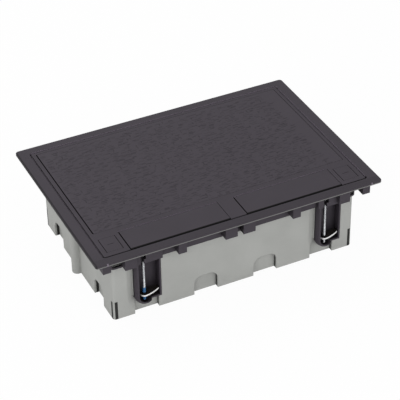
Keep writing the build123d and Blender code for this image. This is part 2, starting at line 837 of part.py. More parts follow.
def make_earth_screws():
    bottom = box_floor + earth_saddle_height + earth_bar_height
    screws = Part()
    for place in earth_screw_places():
        head = rod(earth_head_radius, (bottom, bottom + earth_head_height), earth_bar_x, place)
        half = drive_slot_width / 2
        slot_x = (earth_bar_x - earth_head_radius, earth_bar_x + earth_head_radius)
        slot_z = (bottom + earth_head_height - drive_slot_depth, bottom + earth_head_height)
        screws += head - block(slot_x, (place - half, place + half), slot_z)
    return screws


def write(name, shape):
    export_step(shape, f"parts/{name}.step")


def write_claws():
    screw = make_claw_screw()
    collar = make_collar()
    claw = make_claw()
    for place, x, y, turn in claw_places:
        where = Pos(x, y, 0) * Rot(0, 0, turn)
        write(f"{place}_claw_screw", where * screw)
        write(f"{place}_claw_collar", where * collar)
        write(f"{place}_claw", where * claw)


def write_devices():
    frame = make_device_frame()
    socket = make_power_socket()
    outlet = make_data_outlet()
    clips = Part()
    jacks = Part()
    for name, x in module_places():
        write(f"{name}_power_socket", Pos(x, row_y, 0) * socket)
        write(f"{name}_data_outlet", Pos(x, -row_y, 0) * outlet)
        clips += Pos(x, row_y, 0) * make_earth_clips()
        jacks += Pos(x, -row_y, 0) * make_data_jacks()
    write("socket_earth_clips", clips)
    write("data_jacks", jacks)
    write("power_device_frame", Pos(0, row_y, 0) * frame)
    write("data_device_frame", Pos(0, -row_y, 0) * frame)
    write("device_frame_screws", device_screws(0))


def write_lid():
    write("lid", make_lid())
    write("textured_panel", make_panel())
    write("lid_hinge_pins", lid_pins())
    write("flap_hinge_pins", flap_pins(0))
    for side in ("left", "right"):
        write(f"{side}_cable_flap", make_flap(side))
        write(f"{side}_flap_seal", make_seal(side))
    for name, piece in (("lid_latch", make_latch()), ("latch_bolt", make_bolt())):
        write(f"right_{name}", piece)
        write(f"left_{name}", mirror(piece, Plane.YZ))


os.makedirs("parts", exist_ok=True)
write("frame", make_frame())
write("floor_box", make_floor_box())
write("box_fixing_screws", fixing_screws(0))
write("partition", make_partition())
write("earth_terminal_bar", make_earth_bar())
write("earth_terminal_screws", make_earth_screws())
write_lid()
write_claws()
write_devices()
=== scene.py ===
# %% [markdown]
# # A floor socket box, dressed for the camera
# The box is already a working model: every rigid piece comes from the CAD, in metres, with its
# joints. What is left is what makes it look real. The moulded plastics need grain and soft
# edges, the lid's panel its embossed weave, and the screws need threads and a drive.

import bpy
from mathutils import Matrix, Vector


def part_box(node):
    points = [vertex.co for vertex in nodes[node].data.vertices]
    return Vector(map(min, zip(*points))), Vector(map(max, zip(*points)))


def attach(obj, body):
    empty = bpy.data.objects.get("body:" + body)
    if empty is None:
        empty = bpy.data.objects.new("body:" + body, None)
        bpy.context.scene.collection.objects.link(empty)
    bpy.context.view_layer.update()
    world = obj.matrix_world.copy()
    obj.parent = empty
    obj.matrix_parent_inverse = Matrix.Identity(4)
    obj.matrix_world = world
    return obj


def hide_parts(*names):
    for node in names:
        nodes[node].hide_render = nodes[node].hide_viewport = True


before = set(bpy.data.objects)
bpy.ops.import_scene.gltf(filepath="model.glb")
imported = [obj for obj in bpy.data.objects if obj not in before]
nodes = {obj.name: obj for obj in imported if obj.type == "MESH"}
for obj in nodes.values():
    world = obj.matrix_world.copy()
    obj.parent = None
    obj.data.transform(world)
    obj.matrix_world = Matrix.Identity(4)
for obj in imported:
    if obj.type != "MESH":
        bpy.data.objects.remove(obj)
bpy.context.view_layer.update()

# %% [markdown]
# ## Libraries
# Meshes are built from vectors and matrices, and the weave's pattern needs seeded chance.

# %% Libraries
from math import ceil, pi
from random import Random

import bmesh
import bpy
from mathutils import Matrix, Vector

# %% [markdown]
# ## The camera
# The photograph was taken with a long lens from the front left, looking down at about 35
# degrees. A camera can be placed by eye, but here the edges of the flange and the box were
# solved for its place and its three directions, so those are written down as they came out.

# %% Place the camera
camera_place = Vector((-0.5046, -1.07457, 0.90454))
camera_forward = Vector((0.34533, 0.73041, -0.58928))
camera_right = Vector((0.89915, -0.43737, -0.01519))
camera_up = camera_right.cross(camera_forward)
focal_pixels = 1604.4
picture_pixels = 400

camera = bpy.data.objects.new("camera", bpy.data.cameras.new("camera"))
bpy.context.scene.collection.objects.link(camera)
turn = Matrix((camera_right, camera_up, -camera_forward)).transposed().to_4x4()
camera.matrix_world = Matrix.Translation(camera_place) @ turn
camera.data.lens = camera.data.sensor_width * focal_pixels / picture_pixels
bpy.context.scene.camera = camera
bpy.context.scene.view_settings.view_transform = "Standard"
print("lens", round(camera.data.lens, 1), "mm")

# %% [markdown]
# ## Three helpers for node trees
# Materials are built from the same few moves: add a node, set some of its sockets and link the
# others. One helper does that for any tree, another opens a node group with named sockets and a
# third places it, so an effect is built once and used in many materials.

# %% Helpers for node trees
def add(tree, kind, sockets=None, **settings):
    """Adds a node. In sockets, another node's output is linked and anything else is a value."""
    node = tree.nodes.new(kind)
    for name, value in settings.items():
        setattr(node, name, value)
    for name, value in (sockets or {}).items():
        if isinstance(value, bpy.types.NodeSocket):
            tree.links.new(value, node.inputs[name])
        else:
            node.inputs[name].default_value = value
    return node


def open_group(name, inputs, outputs):
    """A node group with float inputs, a Vector input, and the named outputs."""
    group = bpy.data.node_groups.new(name, "ShaderNodeTree")
    group.interface.new_socket("Vector", in_out="INPUT", socket_type="NodeSocketVector")
    for socket_name, value in inputs.items():
        socket = group.interface.new_socket(socket_name, in_out="INPUT", socket_type="NodeSocketFloat")
        socket.default_value = value
    for socket_name, kind in outputs.items():
        group.interface.new_socket(socket_name, in_out="OUTPUT", socket_type=kind)
    return group, add(group, "NodeGroupInput"), add(group, "NodeGroupOutput")


def place_group(tree, group, coordinates, **values):
    """Places a node group in a material, with its own values."""
    node = add(tree, "ShaderNodeGroup", node_tree=group)
    tree.links.new(coordinates, node.inputs["Vector"])
    for name, value in values.items():
        node.inputs[name.replace("_", " ")].default_value = value
    return node


# %% [markdown]
# ## Spark grain
# Moulds for such parts are spark eroded, which leaves tiny craters of a few tenths of a
# millimetre. A photograph of the grain would do, but a noise on Object coordinates needs no
# unwrapping and stays at its true scale. The group gives a height for the bump, and a slow
# tone that varies colour and roughness a little, as handling does.

# %% Group: spark grain
def spark_grain_group():
    floats = {"Height": "NodeSocketFloat", "Tone": "NodeSocketFloat"}
    group, entry, leave = open_group("spark grain", {"Grain Size": 0.0004, "Tone Size": 0.03}, floats)
    vector = entry.outputs["Vector"]
    fine = add(group, "ShaderNodeMath", {0: 1.0, 1: entry.outputs["Grain Size"]}, operation="DIVIDE")
    slow = add(group, "ShaderNodeMath", {0: 1.0, 1: entry.outputs["Tone Size"]}, operation="DIVIDE")
    scaled = {"Vector": vector, "Scale": fine.outputs[0]}
    craters = add(group, "ShaderNodeTexVoronoi", scaled, feature="SMOOTH_F1")
    lumps = add(group, "ShaderNodeTexNoise", {**scaled, "Detail": 2.0})
    pair = {0: craters.outputs["Distance"], 1: lumps.outputs["Fac"]}
    both = add(group, "ShaderNodeMath", pair, operation="ADD")
    clouds = add(group, "ShaderNodeTexNoise", {"Vector": vector, "Scale": slow.outputs[0], "Detail": 4.0})
    group.links.new(both.outputs[0], leave.inputs["Height"])
    group.links.new(clouds.outputs["Fac"], leave.inputs["Tone"])
    return group


spark_grain = spark_grain_group()
print("group", spark_grain.name)

# %% [markdown]
# ## Soft edges
# No moulded or pressed edge is perfectly sharp: it is rounded by a few tenths of a millimetre
# and catches a thin line of light. Beveling the meshes would change the CAD, so the Bevel node
# rounds only the normals. Where the rounded normal leaves the flat one there is an edge, which
# is the mask for a painted highlight: the plastics' colour is made lighter along it.

# %% Group: soft edges
def soft_edges_group():
    outputs = {"Normal": "NodeSocketVector", "Edge": "NodeSocketFloat"}
    group, entry, leave = open_group("soft edges", {"Radius": 0.0004}, outputs)
    rounded = add(group, "ShaderNodeBevel", {"Radius": entry.outputs["Radius"]}, samples=6)
    flat = add(group, "ShaderNodeNewGeometry")
    pair = {0: rounded.outputs["Normal"], 1: flat.outputs["Normal"]}
    alike = add(group, "ShaderNodeVectorMath", pair, operation="DOT_PRODUCT")
    limits = {"Value": alike.outputs["Value"], "From Min": 1.0, "From Max": 0.75}
    edge = add(group, "ShaderNodeMapRange", limits)
    group.links.new(rounded.outputs["Normal"], leave.inputs["Normal"])
    group.links.new(edge.outputs["Result"], leave.inputs["Edge"])
    return group


soft_edges = soft_edges_group()
print("group", soft_edges.name)

# %% [markdown]
# ## Masks from place and facing
# Some marks belong to one place on the part and to walls that face one way. A spot's Object
# coordinates and its own normal say both, so a mask is a short list of limits. That works on
# every piece that meets there, and needs no painting.

# %% Helpers for masks
def spot_values(group, entry):
    """A spot's place and facing, as values by name: X, |X|, NX, |NX| and so on."""
    values = {}
    normal = add(group, "ShaderNodeTexCoord").outputs["Normal"]
    for prefix, vector in (("", entry.outputs["Vector"]), ("N", normal)):
        parts = add(group, "ShaderNodeSeparateXYZ", {"Vector": vector}).outputs
        for axis in "XYZ":
            size = add(group, "ShaderNodeMath", {0: parts[axis]}, operation="ABSOLUTE")
            values[prefix + axis] = parts[axis]
            values[f"|{prefix}{axis}|"] = size.outputs[0]
    return values


def where_all(group, values, *tests):
    """A mask that is one where every test holds, such as ("|X|", "<", 0.1)."""
    mask = 1.0
    for name, sign, limit in tests:
        operation = "LESS_THAN" if sign == "<" else "GREATER_THAN"
        passed = add(group, "ShaderNodeMath", {0: values[name], 1: limit}, operation=operation)
        both = {0: mask, 1: passed.outputs[0]}
        mask = add(group, "ShaderNodeMath", both, operation="MULTIPLY").outputs[0]
    return mask


def mask_group(name, *choices):
    """A group whose mask is one where all the tests of any choice hold."""
    group, entry, leave = open_group(name, {}, {"Mask": "NodeSocketFloat"})
    values = spot_values(group, entry)
    mask = 0.0
    for tests in choices:
        pair = {0: mask, 1: where_all(group, values, *tests)}
        mask = add(group, "ShaderNodeMath", pair, operation="MAXIMUM").outputs[0]
    group.links.new(mask, leave.inputs["Mask"])
    return group


# %% [markdown]
# ## Painted shade in the seams and painted light in the lid's gap
# In the photograph the gaps beside the panel, the flaps and the latches are almost black, and
# so is the one in front of the flaps, while the gaps behind them hardly show. The first get a
# painted shade, near black, on their walls. The gap round the rest of the lid and the ones
# behind the flaps get painted light, a pale colour, so they hardly show. A wall counts as facing
# an axis when its normal has more than half its length along it, and as level from 0.8 up.

# %% Groups: the gaps round the lid's pieces
facing = 0.5
level = 0.8
beneath_lid = 0.0715
lid_face = 0.07695
lid_side = 0.1268
lid_back = 0.086
gap_side = 0.128
gap_back = 0.0872
front_gap_side = 0.1286
front_gap = (-0.0878, -0.083)
flap_gap = (-0.0582, -0.0572)

in_seam = (("Z", ">", beneath_lid), ("Z", "<", lid_face))
seam_sides = in_seam + (("|X|", "<", lid_side), ("|Y|", "<", -front_gap[0]), ("|NX|", ">", facing))
seam_front = in_seam + (
    ("|X|", "<", front_gap_side), ("Y", ">", front_gap[0]), ("Y", "<", front_gap[1]), ("|NZ|", "<", level),
)
# Painted shade, near black, goes on these seams' walls.
seam_shade = mask_group("seam shade", seam_sides, seam_front)

gap_sides = in_seam + (("|X|", ">", lid_side), ("|X|", "<", gap_side))
gap_behind = in_seam + (("|X|", "<", gap_side), ("Y", ">", lid_back), ("Y", "<", gap_back))
gap_flaps = in_seam + (("Y", ">", flap_gap[0]), ("Y", "<", flap_gap[1]), ("|NY|", ">", facing))
# Painted light: these gaps get a pale colour, so their shade hardly shows.
gap_light = mask_group("gap light", gap_sides, gap_behind, gap_flaps)
print("groups", seam_shade.name, gap_light.name)

# %% [markdown]
# ## The flange's edges, the conduit entries and the claws
# The flange gets painted shade: its outer edge is dark, and its front strip a little darker than
# the lid. A thin painted highlight, a light line, runs along its lower front edge, where the
# floor shines on it. In each conduit entry a black line of painted shade shows where the thin
# panel would break out. The last mask finds a claw's flat faces.

# %% Groups: marks on the flange, the box and the claws
flange_underside = 0.0743
left_edge = -0.1366
right_edge = 0.1373
back_edge = 0.0948
front_strip = -0.0871
lip_top = 0.0753
lip_front = -0.0945
entry_top = 0.0192
long_entry = (0.0745, 0.0772)
short_entry = (0.1143, 0.117)
claw_flatness = 0.7

on_flange = (("Z", ">", flange_underside),)
# Painted shade on the flange's outer edge and front strip, a painted highlight on its lip.
flange_left = on_flange + (("X", "<", left_edge),)
flange_right = on_flange + (("X", ">", right_edge),)
flange_back = on_flange + (("Y", ">", back_edge),)
flange_edge_shading = mask_group("flange edge shade", flange_left, flange_right, flange_back)
flange_front = mask_group("flange front", (("Y", "<", front_strip), ("Z", ">", lip_top)))
lip = on_flange + (("Z", "<", lip_top), ("Y", "<", lip_front), ("NY", "<", -facing))
lip_highlight = mask_group("lip highlight", lip)

# Painted shade: black lines on the conduit entries' jambs.
in_entry = (("Z", "<", entry_top),)
long_entries = in_entry + (("|NX|", ">", facing), ("|Y|", ">", long_entry[0]), ("|Y|", "<", long_entry[1]))
short_entries = in_entry + (("|NY|", ">", facing), ("|X|", ">", short_entry[0]), ("|X|", "<", short_entry[1]))
entry_shade_lines = mask_group("entry shade lines", long_entries, short_entries)

flat_faces = mask_group("flat faces", (("|NZ|", ">", claw_flatness),))
print("groups", flange_edge_shading.name, flange_front.name, lip_highlight.name, entry_shade_lines.name, flat_faces.name)

# %% [markdown]
# ## Painted shade in cavities
# Deep corners, such as the insides of the claw guides, are almost black as well, and get painted
# shade. How closed a spot is can't be told from its place, so an Ambient Occlusion node measures
# it, and the colour darkens where it is closed.

# %% Group: cavities
closed_below = 0.25
open_above = 0.7


def cavities_group():
    group, entry, leave = open_group("cavities", {"Reach": 0.015}, {"Open": "NodeSocketFloat"})
    seen = add(group, "ShaderNodeAmbientOcclusion", {"Distance": entry.outputs["Reach"]}, samples=8)
    limits = {"Value": seen.outputs["AO"], "From Min": closed_below, "From Max": open_above}
    clear = add(group, "ShaderNodeMapRange", limits)
    group.links.new(clear.outputs["Result"], leave.inputs["Open"])
    return group


cavities = cavities_group()
print("group", cavities.name)

# %% [markdown]
# ## Rolled streaks
# Rolled and turned metal has fine streaks in one direction. A noise stretched along X gives
# them, and the same group serves all the metals.

# %% Group: rolled streaks
def rolled_streaks_group():
    floats = {"Height": "NodeSocketFloat", "Tone": "NodeSocketFloat"}
    group, entry, leave = open_group("rolled streaks", {"Streak Width": 0.0002, "Stretch": 12.0}, floats)
    vector = entry.outputs["Vector"]
    width = {0: 1.0, 1: entry.outputs["Streak Width"]}
    across = add(group, "ShaderNodeMath", width, operation="DIVIDE").outputs[0]
    length = {0: across, 1: entry.outputs["Stretch"]}
    along = add(group, "ShaderNodeMath", length, operation="DIVIDE").outputs[0]
    scale = add(group, "ShaderNodeCombineXYZ", {"X": along, "Y": across, "Z": across})
    pair = {0: vector, 1: scale.outputs["Vector"]}
    stretched = add(group, "ShaderNodeVectorMath", pair, operation="MULTIPLY").outputs["Vector"]
    streaks = add(group, "ShaderNodeTexNoise", {"Vector": stretched, "Scale": 1.0, "Detail": 3.0})
    clouds = add(group, "ShaderNodeTexNoise", {"Vector": vector, "Scale": 220.0, "Detail": 3.0})
    group.links.new(streaks.outputs["Fac"], leave.inputs["Height"])
    group.links.new(clouds.outputs["Fac"], leave.inputs["Tone"])
    return group


rolled_streaks = rolled_streaks_group()
print("group", rolled_streaks.name)

# %% [markdown]
# ## Helpers for materials
# Every material on the object starts with Object coordinates and ends in a Principled shader.
# In between, colours are mixed by a factor, and a noise that hovers round its middle is
# stretched to the range that is wanted.

# %% Helpers for materials
noise_range = (0.3, 0.7)


def new_material(name):
    """An empty material, its tree and its Object coordinates."""
    material = bpy.data.materials.new(name)
    material.use_nodes = True
    tree = material.node_tree
    tree.nodes.clear()
    coordinates = add(tree, "ShaderNodeTexCoord").outputs["Object"]
    return material, tree, coordinates


def finish_material(tree, sockets):
    """Closes a material with a Principled shader."""
    shader = add(tree, "ShaderNodeBsdfPrincipled", sockets)
    add(tree, "ShaderNodeOutputMaterial", {"Surface": shader.outputs["BSDF"]})


def between(tree, factor, low, high):
    """A value that runs from low to high as the factor runs through a noise's usual range."""
    sockets = {"Value": factor, "From Min": noise_range[0], "From Max": noise_range[1]}
    sockets |= {"To Min": low, "To Max": high}
    return add(tree, "ShaderNodeMapRange", sockets).outputs["Result"]


def mixed(tree, factor, low, high):
    """A colour mixed from two by a factor."""
    node = add(tree, "ShaderNodeMix", data_type="RGBA")
    for index, value in ((0, factor), (6, low), (7, high)):
        if isinstance(value, bpy.types.NodeSocket):
            tree.links.new(value, node.inputs[index])
        else:
            node.inputs[index].default_value = value
    return node.outputs[2]


def shade(colour, factor):
    """The colour made lighter or darker, with its alpha."""
    return tuple(min(1.0, part * factor) for part in colour) + (1.0,)


def toned(tree, factor, colour, shades):
    """The colour, between its darker and its lighter shade by a factor."""
    darker, lighter = shades
    return mixed(tree, factor, shade(colour, darker), shade(colour, lighter))


def masked(tree, coordinates, group, colour, inside):
    """The colour, with another one inside a group's mask."""
    return mixed(tree, place_group(tree, group, coordinates).outputs["Mask"], colour, inside)


# %% [markdown]
# ## Marks on the finishes
# Each mask gets its colour here, and most of these colours are painted shade or painted light.
# A mark is laid over the ones before it, so the painted shade of the seams, which comes last,
# wins where two masks meet.

# %% Marks
charcoal = (0.05, 0.043, 0.053)
light_grey = (0.37, 0.375, 0.36)
# Painted shade, near black, for the seams.
seam_shade_colour = (0.004, 0.0035, 0.004, 1.0)
# Painted highlight for the flange's lower front edge.
lip_highlight_colour = (0.17, 0.168, 0.165, 1.0)
# Painted shade for the claws' flat faces.
blackened = (0.02, 0.017, 0.015, 1.0)
cavity_shade = 0.3
flange_front_shade = 0.84
flange_edge_shade = 0.35
# Painted light, a pale colour, for the lid's gap.
gap_light_shade = 3.6
entry_shade = 0.05


def charcoal_marks(tree, coordinates, colour):
    """Charcoal with painted shade in cavities, flange and seams, a painted lip highlight and gap light."""
    # Painted shade in the cavities, darker where the Ambient Occlusion node finds them closed.
    hollow = place_group(tree, cavities, coordinates)
    colour = mixed(tree, hollow.outputs["Open"], shade(charcoal, cavity_shade), colour)
    colour = masked(tree, coordinates, flange_front, colour, shade(charcoal, flange_front_shade))
    colour = masked(tree, coordinates, lip_highlight, colour, lip_highlight_colour)
    colour = masked(tree, coordinates, flange_edge_shading, colour, shade(charcoal, flange_edge_shade))
    colour = masked(tree, coordinates, gap_light, colour, shade(charcoal, gap_light_shade))
    return masked(tree, coordinates, seam_shade, colour, seam_shade_colour)


def entry_marks(tree, coordinates, colour):
    """The grey colour with painted shade, black lines, on the jambs of the conduit entries."""
    return masked(tree, coordinates, entry_shade_lines, colour, shade(light_grey, entry_shade))


def claw_shade_and_highlight(tree, coordinates, colour):
    """The claw's near-white colour, a painted highlight for its edges, with painted shade on flat faces."""
    return masked(tree, coordinates, flat_faces, colour, blackened)


# %% [markdown]
# ## The moulded plastics
# Frame, lid, flaps, latches, box and inserts are all injection moulded. They differ in colour,
# gloss and grain, so one function makes them all. The shader stays in the material itself.

# %% Material: moulded plastic
grain_depth = 0.00002
fine_grain_depth = 0.000004
tone_shades = (0.94, 1.06)
edge_highlight_strength = 0.6
roughness_play = 0.04
charcoal_shine = 0.2


def moulded_plastic(name, colour, roughness, depth=grain_depth, shine=0.5, edge_highlight=1.5, marks=None):
    """A plastic. Marks is a function that lays more colours over the plain one."""
    material, tree, coordinates = new_material(name)
    grained = place_group(tree, spark_grain, coordinates)
    edges = place_group(tree, soft_edges, coordinates)
    tone = between(tree, grained.outputs["Tone"], 0.0, 1.0)
    body = toned(tree, tone, colour, tone_shades)
    # Painted highlight: the colour is made lighter along the soft edges.
    rim = add(tree, "ShaderNodeMath", {0: edges.outputs["Edge"], 1: edge_highlight_strength}, operation="MULTIPLY")
    painted = mixed(tree, rim.outputs[0], body, shade(colour, edge_highlight))
    if marks is not None:
        painted = marks(tree, coordinates, painted)
    bump = add(tree, "ShaderNodeBump", {"Height": grained.outputs["Height"], "Distance": depth})
    tree.links.new(edges.outputs["Normal"], bump.inputs["Normal"])
    sockets = {"Base Color": painted, "Normal": bump.outputs["Normal"], "Specular IOR Level": shine}
    limits = (roughness - roughness_play, roughness + roughness_play)
    sockets["Roughness"] = between(tree, grained.outputs["Tone"], *limits)
    finish_material(tree, sockets)
    return material


dark_plastic = moulded_plastic(
    "charcoal plastic", charcoal, 0.55, shine=charcoal_shine, edge_highlight=1.1, marks=charcoal_marks,
)
grey_plastic = moulded_plastic(
    "light grey plastic", light_grey, 0.6, shine=0.25, edge_highlight=1.12, marks=entry_marks,
)
white_plastic = moulded_plastic(
    "white gloss plastic", (0.78, 0.78, 0.76), 0.22, depth=fine_grain_depth, edge_highlight=1.1,
)
black_plastic = moulded_plastic("black plastic", (0.012, 0.012, 0.013), 0.45)
print("plastics", dark_plastic.name, grey_plastic.name, white_plastic.name, black_plastic.name)

# %% [markdown]
# ## The weave's colour
# The lid's panel is the same charcoal plastic, pressed with a linen-like weave. Its dents get
# painted shade: the colour falls off with the depth below the panel's face, which a height limit
# on Object coordinates gives.

# %% Material: charcoal weave
panel_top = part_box("textured_panel")[1].z
weave_depth = 0.0003
weave_shades = (0.45, 1.08)
weave_roughness = (0.5, 0.58)


def weave_material():
    material, tree, coordinates = new_material("charcoal weave")
    grained = place_group(tree, spark_grain, coordinates)
    edges = place_group(tree, soft_edges, coordinates)
    height = add(tree, "ShaderNodeSeparateXYZ", {"Vector": coordinates}).outputs["Z"]
    limits = {"Value": height, "From Min": panel_top - weave_depth, "From Max": panel_top}
    raised = add(tree, "ShaderNodeMapRange", limits).outputs["Result"]
    # Painted shade in the dents: the colour darkens with depth.
    body = toned(tree, raised, charcoal, weave_shades)
    # Painted shade in the seams, near black.
    painted = masked(tree, coordinates, seam_shade, body, seam_shade_colour)
    bump = add(tree, "ShaderNodeBump", {"Height": grained.outputs["Height"], "Distance": grain_depth})
    tree.links.new(edges.outputs["Normal"], bump.inputs["Normal"])
    sockets = {"Base Color": painted, "Normal": bump.outputs["Normal"], "Specular IOR Level": charcoal_shine}
    sockets["Roughness"] = between(tree, grained.outputs["Tone"], *weave_roughness)
    finish_material(tree, sockets)
    return material


weave = weave_material()
print("weave", weave_depth * 1000, "mm deep")

# %% [markdown]
# ## The metals
# The screws are zinc plated, the earth clips nickel plated and the earth terminal plain brass.
# Pins and collars are blackened. The claws are near white, a painted highlight for their shining
# stamped edges, with painted shade, near black, on their flat faces. All read the rolled
# streaks. The front left screw also has a blue thread-lock patch near its tip, a nylon spray
# that a height limit on Object coordinates paints on.

# %% Material: plated and plain metals
patch_colour = (0.03, 0.14, 0.32, 1.0)
patch_top = 0.0284
patch_raggedness = 0.004
patch_fade = 0.0008
streak_depth = 0.000008
streak_shades = (0.86, 1.1)
streak_roughness_play = 0.07


def patch_mask(tree, coordinates, streaks):
    """A mask of the thread-lock patch, with a ragged upper end."""
    height = add(tree, "ShaderNodeSeparateXYZ", {"Vector": coordinates}).outputs["Z"]
    raised = {0: streaks.outputs["Tone"], 1: patch_raggedness, 2: height}
    ragged = add(tree, "ShaderNodeMath", raised, operation="MULTIPLY_ADD").outputs[0]
    limits = {"Value": ragged, "From Min": patch_top + patch_fade, "From Max": patch_top}
    return add(tree, "ShaderNodeMapRange", limits).outputs["Result"]


def metal(name, colour, roughness, patched=False, metallic=1.0, marks=None):
    """A metal. Marks is a function that lays more colours over the plain one."""
    material, tree, coordinates = new_material(name)
    streaks = place_group(tree, rolled_streaks, coordinates)
    edges = place_group(tree, soft_edges, coordinates, Radius=0.0002)
    tone = between(tree, streaks.outputs["Tone"], 0.0, 1.0)
    painted = toned(tree, tone, colour, streak_shades)
    if marks is not None:
        painted = marks(tree, coordinates, painted)
    bump = add(tree, "ShaderNodeBump", {"Height": streaks.outputs["Height"], "Distance": streak_depth})
    tree.links.new(edges.outputs["Normal"], bump.inputs["Normal"])
    sockets = {"Normal": bump.outputs["Normal"], "Metallic": metallic}
    limits = (roughness - streak_roughness_play, roughness + streak_roughness_play)
    sockets["Roughness"] = between(tree, streaks.outputs["Height"], *limits)
    if patched:
        coated = patch_mask(tree, coordinates, streaks)
        painted = mixed(tree, coated, painted, patch_colour)
        bare = add(tree, "ShaderNodeMath", {0: 1.0, 1: coated}, operation="SUBTRACT")
        sockets["Metallic"] = bare.outputs[0]
    sockets["Base Color"] = painted
    finish_material(tree, sockets)
    return material


zinc_colour = (0.66, 0.67, 0.69)
zinc = metal("zinc plated steel", zinc_colour, 0.3)
locked_zinc = metal("zinc with thread lock", zinc_colour, 0.3, patched=True)
# The claws: near white as a painted highlight on their edges, painted shade on flat faces.
claw_steel = metal("claw steel with painted shade", (0.95, 0.95, 0.95), 0.3, metallic=0.2, marks=claw_shade_and_highlight)
black_steel = metal("blackened steel", (0.03, 0.028, 0.028), 0.4)
nickel = metal("nickel plated steel", (0.7, 0.66, 0.6), 0.25)
brass = metal("plain brass", (0.72, 0.52, 0.24), 0.3)
gold = metal("gold plated contacts", (0.9, 0.62, 0.22), 0.25)
print("metals", zinc.name, claw_steel.name, black_steel.name, nickel.name, brass.name, gold.name)

# %% [markdown]
# ## Foam
# The strip under each cable flap is closed-cell foam, black and full of small pores. Its pores
# are a Voronoi bump, and the rough surface without sheen makes it darker than the plastic.

# %% Material: foam
pores_in_a_metre = 1400.0
pore_depth = 0.0002
foam_shades = ((0.006, 0.006, 0.006, 1.0), (0.03, 0.03, 0.03, 1.0))


def foam_material():
    material, tree, coordinates = new_material("black foam")
    sockets = {"Vector": coordinates, "Scale": pores_in_a_metre}
    pores = add(tree, "ShaderNodeTexVoronoi", sockets).outputs["Distance"]
    bump = add(tree, "ShaderNodeBump", {"Height": pores, "Distance": pore_depth})
    # Painted shade: the colour is darkest in the pores' middles, where the bump sinks.
    colour = mixed(tree, pores, *foam_shades)
    roughness = between(tree, pores, 0.85, 0.95)
    finish_material(tree, {"Base Color": colour, "Roughness": roughness, "Normal": bump.outputs["Normal"]})
    return material


foam = foam_material()
print("foam", foam.name)

# %% [markdown]
# ## Finishes for the CAD pieces
# The CAD's shapes are right, so those pieces only take a finish. A table of name endings says
# which, and the first ending that fits a node's name wins.

# %% Give every CAD piece its finish
finishes = (
    ("textured_panel", weave),
    ("floor_box", grey_plastic),
    ("partition", grey_plastic),
    ("power_socket", white_plastic),
    ("data_outlet", white_plastic),
    ("device_frame", black_plastic),
    ("data_jacks", black_plastic),
    ("flap_seal", foam),
    ("earth_clips", nickel),
    ("terminal_bar", brass),
    ("collar", black_steel),
    ("screw", zinc),
    ("screws", zinc),
    ("claw", claw_steel),
    ("pins", black_steel),
    ("bolt", zinc),
    ("", dark_plastic),
)
for name, node in nodes.items():
    finish = next(material for ending, material in finishes if name.endswith(ending))
    node.data.materials.clear()
    node.data.materials.append(finish)
print("finished", len(nodes), "CAD pieces")

# %% [markdown]
# ## Pieces as objects
# New pieces are made with bmesh in their final place and handed over as objects at the origin.

# %% Helpers for pieces
def only(kind, parts):
    """The vertices, edges or faces among what an operator gives back."""
    return [part for part in parts if isinstance(part, kind)]


def piece_from(mesh, name, material, body, smooth=False):
    """Turns a finished bmesh into a piece that rides on a body."""
    data = bpy.data.meshes.new(name)
    mesh.to_mesh(data)
    mesh.free()
    if smooth:
        data.shade_smooth()
    piece = bpy.data.objects.new(name, data)
    bpy.context.scene.collection.objects.link(piece)
    data.materials.append(material)
    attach(piece, body)
    return piece


def drum(mesh, radius, bottom, top, radius_top=None, segments=32):
    """A closed cylinder or cone on the Z axis."""
    middle = Matrix.Translation((0.0, 0.0, (bottom + top) / 2))
    ends = {"radius1": radius, "radius2": radius if radius_top is None else radius_top}
    bmesh.ops.create_cone(
        mesh, cap_ends=True, segments=segments, depth=top - bottom, matrix=middle, **ends,
    )


def bar(mesh, size, centre):
    """A closed block."""
    where = Matrix.Translation(centre) @ Matrix.Diagonal((*size, 1.0))
    bmesh.ops.create_cube(mesh, size=1.0, matrix=where)


def carve(mesh, cutter):
    """Cuts one bmesh out of another with the Boolean modifier and returns the result."""
    pair = []
    for part in (mesh, cutter):
        data = bpy.data.meshes.new("carving")
        part.to_mesh(data)
        part.free()
        pair.append(bpy.data.objects.new("carving", data))
        bpy.context.scene.collection.objects.link(pair[-1])
    body, tool = pair
    modifier = body.modifiers.new("cut", "BOOLEAN")
    modifier.operation = "DIFFERENCE"
    modifier.solver = "EXACT"
    modifier.object = tool
    result = bmesh.new()
    result.from_object(body, bpy.context.evaluated_depsgraph_get())
    for used in pair:
        bpy.data.objects.remove(used)
    return result


# %% [markdown]
# ## The embossed panel
# The weave is short dashes, most of them along the lid and some across it. A bump map would
# fake them, but they show in every grazing view, so they are real dents: a fine grid whose
# corners sink where a dash runs. Seeded chance sets each dash's place, length and depth, which
# keeps the pattern the same on each run.

# %% The embossed panel
weave_seed = 11
weave_cells = (320, 176)
dash_block = (10, 3)
dash_rows = 2
dash_lengths = (5, 9)
share_along = 0.85
shallowest_dash = 0.3
panel_corner = 0.001


def dash_depths():
    """The depth of the emboss at each corner of the grid."""
    chance = Random(weave_seed)
    columns, rows = weave_cells
    depths = [[0.0] * (rows + 1) for _ in range(columns + 1)]
    for left in range(1, columns - 2 * dash_block[0], dash_block[0]):
        for front in range(1, rows - 2 * dash_block[1], dash_block[1]):
            column = left + chance.randrange(dash_block[0])
            row = front + chance.randrange(dash_rows)
            along = chance.random() < share_along
            depth = weave_depth * chance.uniform(shallowest_dash, 1.0)
            for step in range(chance.randrange(*dash_lengths)):
                if along:
                    depths[column + step][row] = depth
                else:
                    depths[column][row + step // 2] = depth
    return depths


def pulled_in(place, low, high):
    """A place on the panel's face, brought inside its rounded corners."""
    inner = Vector((
        min(max(place.x, low.x + panel_corner), high.x - panel_corner),
        min(max(place.y, low.y + panel_corner), high.y - panel_corner),
        high.z,
    ))
    reach = place - inner
    if reach.length > panel_corner:
        return inner + reach.normalized() * panel_corner
    return place


